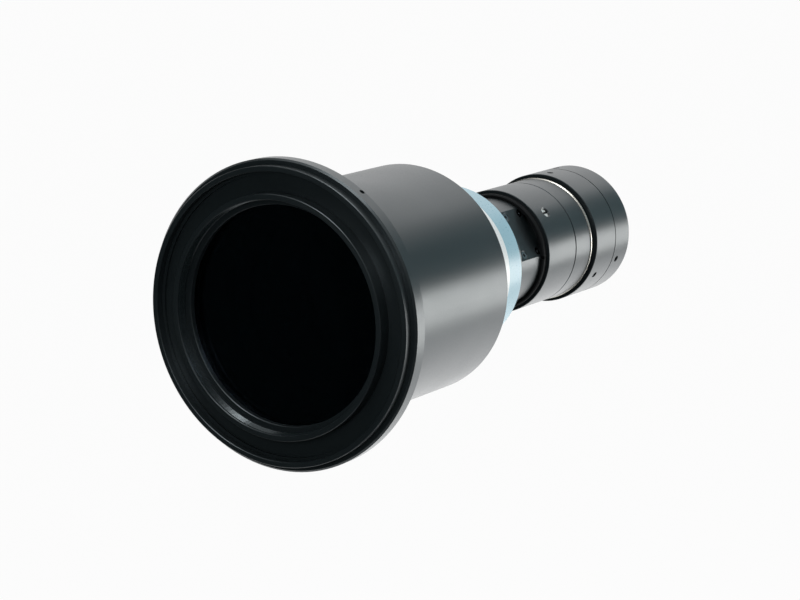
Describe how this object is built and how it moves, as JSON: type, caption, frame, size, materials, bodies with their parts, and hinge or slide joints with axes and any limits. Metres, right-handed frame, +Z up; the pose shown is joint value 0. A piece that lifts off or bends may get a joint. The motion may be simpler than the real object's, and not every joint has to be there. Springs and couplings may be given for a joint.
{
  "type": "bi-telecentric lens",
  "caption": "Long machine-vision lens: wide flanged front, straight barrel, hub with a white and a blue band, slim neck with a covered side port, stepped rear rings and a threaded camera mount.",
  "frame": {"origin": "centre of the seat at the rear that the camera's flange bears on, where the mount thread starts", "axes": "+Y along the optical axis from the object side to the camera side, +Z up"},
  "size_m": [0.168, 0.3334, 0.168],
  "materials": {
    "black_anodised": "satin black anodised aluminium",
    "matt_black": "matt black anodised, anti-reflection",
    "bright_steel": "bright nickel",
    "dark_steel": "black oxide steel",
    "white_coat": "matt white coat",
    "blue_coat": "matt pale steel-blue coat",
    "champagne": "turned, pale champagne",
    "coated_glass": "coated optical glass, dark"
  },
  "bodies": {
    "root": {"front_flange": "black_anodised", "flange_set_screw": "dark_steel", "front_cell": "black_anodised", "front_retaining_ring": "black_anodised", "front_crown_element": "coated_glass", "front_spacer": "matt_black", "front_flint_element": "coated_glass", "barrel": "black_anodised", "front_baffle": "matt_black", "middle_baffle": "matt_black", "rear_baffle": "matt_black", "hub": "black_anodised", "white_band": "white_coat", "blue_band": "blue_coat", "neck_tube": "black_anodised", "port_cover": "black_anodised", "port_cover_screws": "dark_steel", "neck_lock_ring": "black_anodised", "stop_housing": "black_anodised", "neck_clamp_screw": "bright_steel", "aperture_stop": "matt_black", "stop_retaining_ring": "matt_black", "relay_housing": "black_anodised", "relay_meniscus": "coated_glass", "meniscus_ring": "matt_black", "accent_ring": "champagne", "rear_housing": "black_anodised", "rear_housing_screws": "dark_steel", "relay_crown_element": "coated_glass", "relay_flint_element": "coated_glass", "relay_spacer": "matt_black", "relay_retaining_ring": "matt_black", "camera_mount": "black_anodised", "camera_mount_screws": "dark_steel"}
  },
  "joints": []
}
